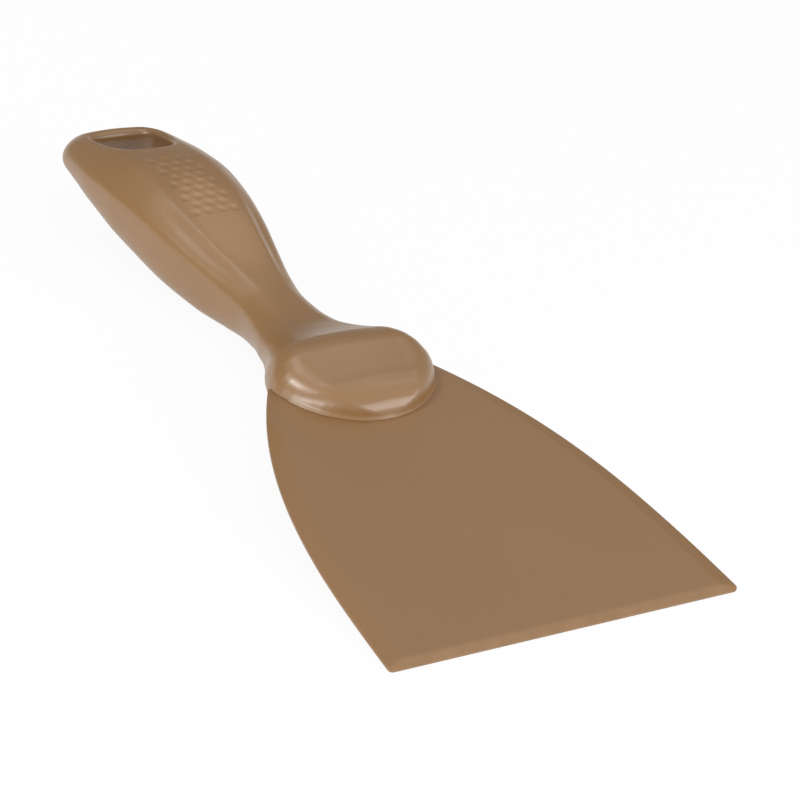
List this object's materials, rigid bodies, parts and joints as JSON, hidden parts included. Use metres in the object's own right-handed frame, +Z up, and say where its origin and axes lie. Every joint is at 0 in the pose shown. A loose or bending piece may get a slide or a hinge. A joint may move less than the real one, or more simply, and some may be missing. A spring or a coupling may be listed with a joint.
{
  "type": "plastic hand scraper",
  "caption": "Hand scraper with a thin spade-shaped plastic blade held in a moulded handle with a domed collar, slim neck, wide grip and hanging hole.",
  "frame": {"origin": "centre of the tool's outline on the table that it lies on", "axes": "+X across the blade, +Y from the scraping edge towards the hanging hole, +Z up from the table"},
  "size_m": [0.102, 0.2408, 0.0267],
  "materials": {
    "blade_plastic": "satin moulded brown plastic with a very fine grain",
    "handle_plastic": "satin moulded brown plastic, a little glossier than the blade"
  },
  "bodies": {
    "root": {"blade": "blade_plastic", "handle": "handle_plastic"}
  },
  "joints": []
}
